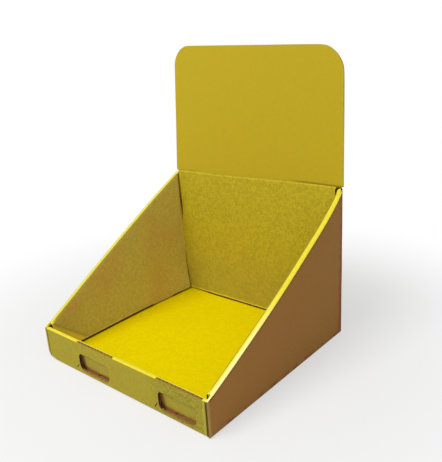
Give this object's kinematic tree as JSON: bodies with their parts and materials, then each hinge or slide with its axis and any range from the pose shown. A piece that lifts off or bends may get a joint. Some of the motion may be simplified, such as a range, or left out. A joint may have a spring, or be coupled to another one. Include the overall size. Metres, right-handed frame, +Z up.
{
  "type": "cardboard display stand",
  "caption": "Folded corrugated counter display: an open tray with sloping double side walls and a low locking front, and a tall header card slotted into its back wall.",
  "frame": {"origin": "centre of the tray's footprint, on its underside", "axes": "+Z up, -Y towards the low front, +X to the right as seen from the front"},
  "size_m": [0.3036, 0.2934, 0.399],
  "materials": {
    "tray_board": "matte",
    "header_board": "matte"
  },
  "bodies": {
    "root": {"tray": "tray_board", "header_card": "header_board"}
  },
  "joints": []
}
